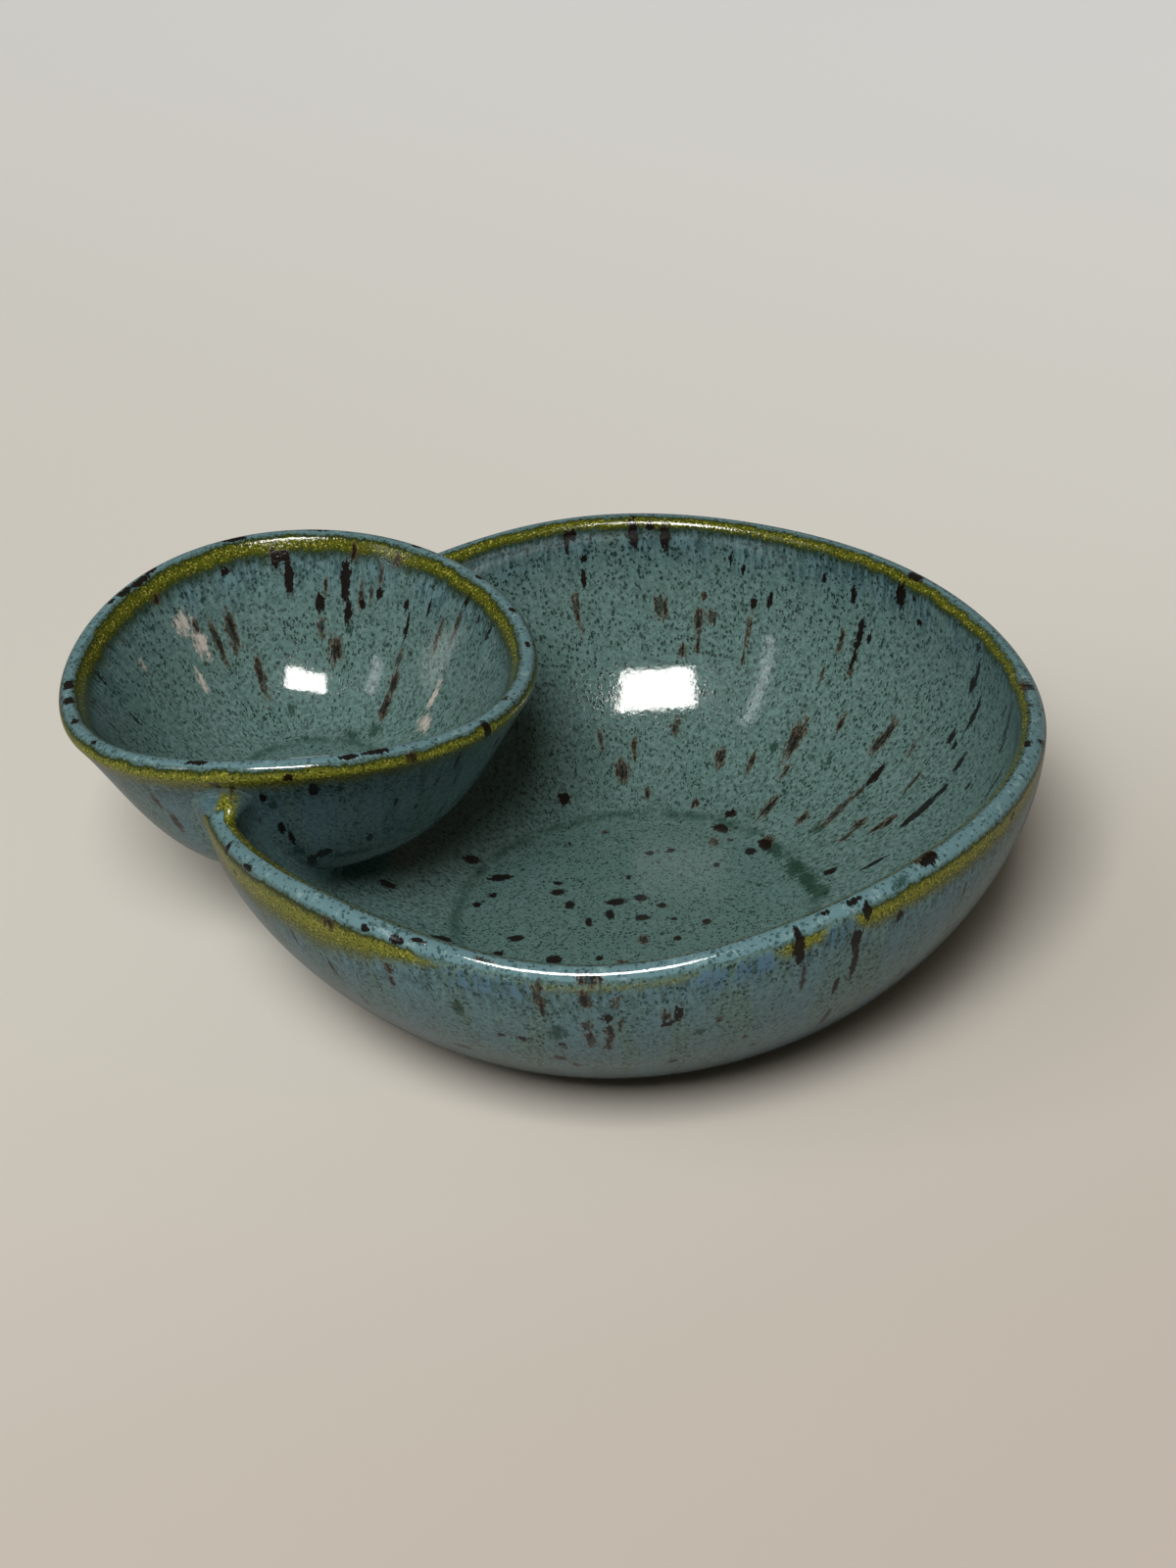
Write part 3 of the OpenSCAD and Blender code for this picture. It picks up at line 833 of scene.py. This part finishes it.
# %% The glaze's colours
TEAL, DEEP_TEAL, SPECK = colour(99, 127, 125), colour(73, 97, 94), colour(18, 35, 28)
GREEN_TEAL, LOW_SHADE_TEAL, OUTSIDE_BLUE = colour(80, 109, 105), colour(40, 57, 66), colour(92, 126, 144)
LIP_BLUE, LIP_FRECKLE, LIP_PALE = colour(96, 129, 136), colour(40, 62, 64), colour(142, 170, 172)
STREAK_BLUE, STREAK_DEEP, GAP_BLUE = colour(94, 126, 134), colour(36, 63, 74), colour(64, 102, 136)
OLIVE, OLIVE_LIT_OUTSIDE = colour(86, 91, 22), colour(112, 117, 38)
OLIVE_DARK, GOLD_AND_GLINT = colour(26, 40, 16), colour(190, 182, 92)
IRON_BLACK, IRON_BROWN, IRON_TAN = colour(19, 11, 8), colour(38, 24, 18), colour(84, 70, 50)
COPPER, MILK = colour(17, 48, 35), colour(188, 178, 170)

# %% What the layers of the glaze share
# Waves in each millimetre of the noises, how far they push the bands, and how much the streaks are drawn out
FINE_WAVES, BROAD_WAVES, CLOUD_WAVES, GRAIN_WAVES = 1.3, 0.22, 0.09, 2.4
FINE_SWAY, BROAD_SWAY = 1.8, 1.6
STREAK_SHARE, SPECK_SHARE, MARK_SHARE = 0.2, 0.65, 0.45


def shared_by_layers(start):
    """Places, distances and noises that more than one layer reads."""
    def carried(name, output="Fac"):
        return start.node("ShaderNodeAttribute", {"attribute_name": name}, output=output)

    place, lap = millimetres(start), carried("lap", "Vector")
    streaks = lap.stretched(1, 1, STREAK_SHARE)
    fine_run, broad_run = streaks.noise(FINE_WAVES, 3.0, 0.6), streaks.noise(BROAD_WAVES)
    beyond = carried("beyond")
    return SimpleNamespace(
        carried=carried, place=place, lap=lap, streaks=streaks, fine_run=fine_run, broad_run=broad_run,
        beyond=beyond, ragged=beyond + fine_run.sway(FINE_SWAY) + broad_run.sway(BROAD_SWAY),
        width=carried("olive"), floor=carried("floor"),
        cloud=place.noise(CLOUD_WAVES), grains=place.noise(GRAIN_WAVES, 1.0),
        down=lap.node("ShaderNodeSeparateXYZ", None, {0: lap}, "Z"),
    )


# %% The speckled body of the glaze
# Each layer's cover is its strength where its mask is full
FLOOR_COVER, CLOUD_COVER, STREAK_COVER, SPECK_COVER, RING_COVER = 0.5, 0.3, 0.68, 0.8, 0.6
OUTSIDE_COVER, LOW_SHADE_COVER, GAP_COVER = 0.45, 0.62, 0.55
SPECK_SIZES, BLOT_SIZES = (0.08, 0.52), (-0.2, 0.24)
WALL_SPECKS, FLOOR_SPECKS, BLOTS = 1.6, 1.75, 0.5


def speckled_body(g):
    """Teal with its streaks, specks, pools and painted shade low on the outside, and the specks' mask."""
    body = g.place.noise(1.1, 3.0, 0.7).rise(0.35, 0.65).over(TEAL, DEEP_TEAL)
    body = (g.floor * FLOOR_COVER + g.cloud.rise(0.45, 0.7) * CLOUD_COVER).over(body, GREEN_TEAL)
    running = g.ragged.rise(0.0, 1.5) * (1 - (g.ragged - g.width).rise(1.0, 13.0))
    blue = g.fine_run.rise(0.4, 0.6).over(STREAK_DEEP, STREAK_BLUE)
    body = (running * g.broad_run.rise(0.2, 0.6) * STREAK_COVER).over(body, blue)
    on_wall = g.lap.stretched(1, 1, SPECK_SHARE).shaken(2.2, 0.8).dots(WALL_SPECKS, *SPECK_SIZES)
    on_floor = g.place.shaken(2.2, 0.7).dots(FLOOR_SPECKS, *SPECK_SIZES)
    specks = on_wall * (1 - g.floor) + on_floor * g.floor
    specks = (specks * (0.5 + g.cloud * 0.9)).most(g.place.shaken(1.4, 0.9).dots(BLOTS, *BLOT_SIZES))
    body = (specks * SPECK_COVER).over(body, SPECK)
    pools = g.place.noise(0.35, 3.0, 0.7).rise(0.3, 0.6)
    ring = g.floor.rise(0.0, 0.45) * (1 - g.floor.rise(0.45, 1.0)) * pools
    body = (ring * RING_COVER).over(body, COPPER)
    outside = (1 - g.down.rise(-14, -6)) * g.broad_run.rise(0.3, 0.7)
    body = (outside * OUTSIDE_COVER).over(body, OUTSIDE_BLUE)
    # Painted shade: the outer wall is painted darker toward the foot.
    body = ((1 - g.down.rise(-58, -24)) * LOW_SHADE_COVER).over(body, LOW_SHADE_TEAL)
    gap = (1 - g.width.rise(0.4, 1.8)) * g.ragged.rise(0.0, 1.0) * (1 - g.ragged.rise(2.5, 8.0))
    body = (gap * g.fine_run.rise(0.46, 0.58) * GAP_COVER).over(body, GAP_BLUE)
    return body, specks


# %% The olive band and the blue lip
BAND_MARGIN = 0.6
OUTSIDE_KEEPS = 0.6
GOLD_AND_GLINT_COVER, FRECKLE_COVER, RIM_LINE_COVER, PALE_COVER = 0.75, 0.75, 0.7, 0.6
RIM_LINE_SWAY = 1.2


def olive_band(g, body):
    """The body under an olive band with gold crystals and painted glints, painted lighter outside the crest,
    and the band's mask.
    """
    share = g.ragged / (g.width + BAND_MARGIN)
    olive = g.ragged.rise(-0.3, 0.4) * (1 - share.rise(0.6, 1.45)) * g.width.rise(0.3, 2.4)
    outside = 1 - g.down.rise(-1, 1)
    core = share.rise(0.0, 0.3) * (1 - share.rise(0.4, 0.9) * (1 - outside * OUTSIDE_KEEPS))
    # Painted light: outside the crest the olive is painted lighter than inside, as a lit copy of the same band.
    tone = outside.over(OLIVE, OLIVE_LIT_OUTSIDE)
    tone = (core * g.grains.rise(0.24, 0.52)).over(OLIVE_DARK, tone)
    # Gold crystals and painted glints: the bright dots stand in for both.
    tone = (core * g.grains.rise(0.6, 0.7) * GOLD_AND_GLINT_COVER).over(tone, GOLD_AND_GLINT)
    return olive.over(body, tone), olive


def blue_lip(g, body):
    """The body under the freckled blue of the lip, which a dark line parts from the olive."""
    freckles = g.place.shaken(1.6, 1.0).dots(1.1, 0.1, 0.5)
    tone = (freckles * FRECKLE_COVER).over(LIP_BLUE, LIP_FRECKLE)
    rim_line = (g.beyond + g.fine_run.sway(RIM_LINE_SWAY)).rise(-0.7, -0.1)
    tone = (rim_line * RIM_LINE_COVER).over(tone, OLIVE_DARK)
    pale = g.place.noise(0.5, 3.0, 0.7).rise(0.52, 0.66) * g.fine_run.rise(0.4, 0.6)
    tone = (pale * PALE_COVER).over(tone, LIP_PALE)
    return (1 - g.ragged.rise(-0.9, 0.1)).over(body, tone)


# %% The marks
MILK_COVER, GREEN_COVER, BROWN_COVER, BROWN_STREAKS, BLACK_COVER = 0.85, 0.75, 0.72, 0.22, 0.97
EDGE_GRAIN, EDGE_STREAK, BLACK_EDGE, TAN_GRAIN = 2.6, 1.2, 0.8, 0.8
FLOOR_GRAIN = 0.85


def iron_marks(g, body):
    """The body under its milky, green, brown and black marks, and the mask of the black ones."""
    wall_grain = g.lap.stretched(1, 1, MARK_SHARE).noise(1.5, 3.0, 0.85)
    floor_grain = g.place.noise(1.1, 3.0, 0.85) * FLOOR_GRAIN + (1 - FLOOR_GRAIN) / 2
    grain = wall_grain * (1 - g.floor) + floor_grain * g.floor
    edge = grain.sway(EDGE_GRAIN) + g.streaks.noise(1.5).sway(EDGE_STREAK)
    milk = (g.carried("pale") + edge).rise(0.0, 0.7) * g.fine_run.rise(0.25, 0.5)
    body = (milk * MILK_COVER).over(body, MILK)
    body = ((g.carried("green") + edge).rise(-0.15, 0.6) * GREEN_COVER).over(body, COPPER)
    brown = g.carried("brown") + edge
    tone = (brown + g.grains.sway(TAN_GRAIN)).rise(0.02, 0.4).over(IRON_TAN, IRON_BROWN)
    tone = brown.rise(0.35, 0.7).over(tone, IRON_BLACK)
    cover = BROWN_COVER + g.fine_run.rise(0.4, 0.55) * BROWN_STREAKS
    body = (brown.rise(-0.15, 0.25) * cover).over(body, tone)
    black = (g.carried("black") + edge * BLACK_EDGE).rise(-0.12, 0.02)
    return (black * BLACK_COVER).over(body, IRON_BLACK), black


# %% All layers in one material
GLAZE_IOR = 1.45
SHINY, FLOOR_MATT, OLIVE_MATT, BLACK_MATT = 0.04, 0.2, 0.04, 0.06
# Heights of the glaze's faint relief, in millimetres
BROAD_SWELL, FINE_SWELL, OLIVE_CRYSTALS, BLACK_HEIGHT, SPECK_DEPTH = 0.02, 0.014, 0.05, 0.015, 0.004


def running_glaze():
    made, start, shader = material_of("running_glaze")
    g = shared_by_layers(start)
    body, specks = speckled_body(g)
    body, olive = olive_band(g, body)
    body = blue_lip(g, body)
    body, black = iron_marks(g, body)
    attach(body, shader, "Base Color")
    attach(SHINY + g.floor * FLOOR_MATT + olive * OLIVE_MATT + black * BLACK_MATT, shader, "Roughness")
    swell = g.place.noise(0.25).sway(BROAD_SWELL) + g.place.noise(1.0, 3.0, 0.65).sway(FINE_SWELL)
    height = swell + olive * g.grains.sway(OLIVE_CRYSTALS) + black * BLACK_HEIGHT - specks * SPECK_DEPTH
    relief = {"Height": height, "Strength": 1.0, "Distance": MM}
    attach(height.node("ShaderNodeBump", None, relief), shader, "Normal")
    shader.inputs["IOR"].default_value = GLAZE_IOR
    return made


glaze = running_glaze()
for piece in (pit, dish_piece, coil):
    piece.data.materials.clear()
    piece.data.materials.append(glaze)
print("glaze nodes:", len(glaze.node_tree.nodes))

# %% [markdown]
# ## Bare stoneware
# The unglazed foot is warm buff clay with dark iron grit, and it is rough to the touch.

# %% The bare clay
BUFF, TOASTED, GRIT = colour(196, 170, 138), colour(172, 142, 110), colour(64, 44, 32)
GRIT_COVER = 0.8
CLAY_MATT, SAND_MATT = 0.75, 0.2
SAND_BUMP, SAND_HEIGHT = 0.6, 0.1


def bare_clay():
    made, start, shader = material_of("bare_clay")
    place = millimetres(start)
    sand, grit, patch = place.noise(2.2, 3.0, 0.7), place.noise(1.1, 1.0), place.noise(0.12)
    tone = patch.rise(0.35, 0.65).over(BUFF, TOASTED)
    tone = (grit.rise(0.68, 0.72) * GRIT_COVER).over(tone, GRIT)
    attach(tone, shader, "Base Color")
    attach(CLAY_MATT + sand * SAND_MATT, shader, "Roughness")
    relief = {"Height": sand, "Strength": SAND_BUMP, "Distance": SAND_HEIGHT * MM}
    attach(sand.node("ShaderNodeBump", None, relief), shader, "Normal")
    return made


clay = bare_clay()
foot.data.materials.append(clay)
print("clay nodes:", len(clay.node_tree.nodes))

# %% [markdown]
# ## Floor, light and camera
# The dish stands on a plain pale floor. Two broad lamps, in front and at the front left, give the soft
# shadow, and a weak sky fills it. A glossy bowl shows its lamps as bright panes, and each bowl bends
# them in its own way, so each has a pane and a strip of its own, which the other doesn't reflect.
# The floor is dimmer in reflections, as it is under a real dish.

# %% The floor
FLOOR_SIZE, FLOOR_CORNERS = 6.0, 64
FLOOR_WARM, FLOOR_PALE, FLOOR_COOL = colour(199, 190, 182), colour(220, 218, 211), colour(248, 251, 254)
NO_LIGHT = colour(0, 0, 0)
WARM_SLANT, COOL_SLANT = 0.3, 0.5
DIMMER, FLOOR_MATTNESS, FLOOR_SHEEN = 0.62, 0.9, 0.1


def pale_floor():
    made, start, shader = material_of("pale_floor")
    place = start.node("ShaderNodeTexCoord", output="Object")
    across = place.node("ShaderNodeSeparateXYZ", None, {0: place}, "X")
    away = place.node("ShaderNodeSeparateXYZ", None, {0: place}, "Y")
    turn = math.radians(FLOOR_FACING)
    depth = away * math.cos(turn) - across * math.sin(turn)
    side = across * math.cos(turn) + away * math.sin(turn)
    # Painted light: the floor is painted warmer and darker at the front and lighter and cooler away from it,
    # for how the light falls across it.
    tone = (depth - side * WARM_SLANT).rise(-0.25, 0.12).over(FLOOR_WARM, FLOOR_PALE)
    tone = (depth + side * COOL_SLANT).rise(0.0, 0.7).over(tone, FLOOR_COOL)
    mirrored = start.node("ShaderNodeLightPath", output="Is Glossy Ray")
    attach((mirrored * DIMMER).over(tone, NO_LIGHT), shader, "Base Color")
    shader.inputs["Roughness"].default_value = FLOOR_MATTNESS
    shader.inputs["Specular IOR Level"].default_value = FLOOR_SHEEN
    return made


floor_mesh = bpy.data.meshes.new("floor")
corner_turns = [2 * math.pi * i / FLOOR_CORNERS for i in range(FLOOR_CORNERS)]
corners = [(FLOOR_SIZE * math.cos(turn), FLOOR_SIZE * math.sin(turn), 0) for turn in corner_turns]
floor_mesh.from_pydata(corners, [], [list(range(FLOOR_CORNERS))])
floor = shown("floor", floor_mesh)
floor.data.materials.append(pale_floor())
print("floor", FLOOR_SIZE, "m")

# %% Making lamps
OBJECT_MIDDLE, UP = Vector((0.0, 0.0, 0.03)), Vector((0, 0, 1))


def area_lamp(name, azimuth, elevation, distance, lean, width, height, power, tint):
    """A rectangular lamp that faces the object from afar, turned by its lean round the line between them."""
    a, e = math.radians(azimuth), math.radians(elevation)
    back = Vector((math.cos(a) * math.cos(e), math.sin(a) * math.cos(e), math.sin(e)))
    up = Matrix.Rotation(math.radians(lean), 3, back) @ (UP - back * back.dot(UP)).normalized()
    facing = Matrix((up.cross(back), up, back)).transposed().to_4x4()
    lamp = bpy.data.lights.new(name, "AREA")
    lamp.shape, lamp.size, lamp.size_y, lamp.energy, lamp.color = "RECTANGLE", width, height, power, tint
    made = shown(name, lamp)
    made.matrix_world = Matrix.Translation(OBJECT_MIDDLE + distance * back) @ facing
    return made


def shine_on(lamp, *pieces):
    """Lets a lamp show only as a reflection, and only in some pieces."""
    only = bpy.data.collections.new(lamp.name + "_in")
    for piece in pieces:
        only.objects.link(piece)
    lamp.light_linking.receiver_collection = only
    lamp.visible_diffuse = False


# %% The lamps and the sky
# Each lamp has its azimuth, elevation, distance, lean, width, height and watts, in degrees and metres
WARM, COOL = (1.0, 0.98, 0.94), (0.95, 0.98, 1.0)
front = area_lamp("front", -81, 51, 3.6, 0, 1.4, 1.4, 120.0, WARM)
left = area_lamp("left", -132, 48, 3.6, 0, 2.0, 2.0, 21.0, WARM)
for lamp in (front, left):
    lamp.visible_glossy = False
window_dish = area_lamp("window_dish", -87.5, 66, 0.54, 10, 0.163, 0.160, 3.0, WARM)
window_pit = area_lamp("window_pit", -88.5, 59.5, 0.56, 5, 0.241, 0.128, 3.3, WARM)
strip_dish = area_lamp("strip_dish", -133, 51, 0.525, 27, 0.024, 0.358, 0.13, COOL)
strip_pit = area_lamp("strip_pit", -142.5, 36, 0.59, 17, 0.07, 0.181, 0.16, COOL)
shine_on(window_dish, dish_piece, coil)
shine_on(window_pit, pit)
shine_on(strip_dish, dish_piece)
shine_on(strip_pit, pit)
SKY_TINT, SKY_STRENGTH = (1.0, 0.8, 0.55, 1.0), 0.07
world = bpy.data.worlds.new("sky")
bpy.context.scene.world = world
world.use_nodes = True
sky = world.node_tree.nodes["Background"]
sky.inputs["Color"].default_value = SKY_TINT
sky.inputs["Strength"].default_value = SKY_STRENGTH
print("lamps:", [lamp.name for lamp in (front, left, window_dish, window_pit, strip_dish, strip_pit)])

# %% The camera
CAMERA_TURN, CAMERA_RISE, CAMERA_ROLL = 20.70, 32.18, -4.75
CAMERA_AIM, CAMERA_BACK = Vector((5.28, 8.93, 30.0)) * MM, 690.16 * MM
CAMERA_LENS, SENSOR_WIDTH = 81.0, 36.0
turn, rise, roll_by = (math.radians(v) for v in (CAMERA_TURN, CAMERA_RISE, CAMERA_ROLL))
away = Vector((-math.sin(turn) * math.cos(rise), math.cos(turn) * math.cos(rise), -math.sin(rise)))
level = Vector((math.cos(turn), math.sin(turn), 0))
upward = level.cross(away)
right = math.cos(roll_by) * level + math.sin(roll_by) * upward
top = right.cross(away)
lens = bpy.data.cameras.new("camera")
lens.lens, lens.sensor_width = CAMERA_LENS, SENSOR_WIDTH
camera = shown("camera", lens)
standpoint = Matrix.Translation(CAMERA_AIM - CAMERA_BACK * away)
camera.matrix_world = standpoint @ Matrix((right, top, -away)).transposed().to_4x4()
bpy.context.scene.camera = camera
bpy.context.scene.view_settings.view_transform = "Standard"
print("camera at", [round(v, 3) for v in camera.location])
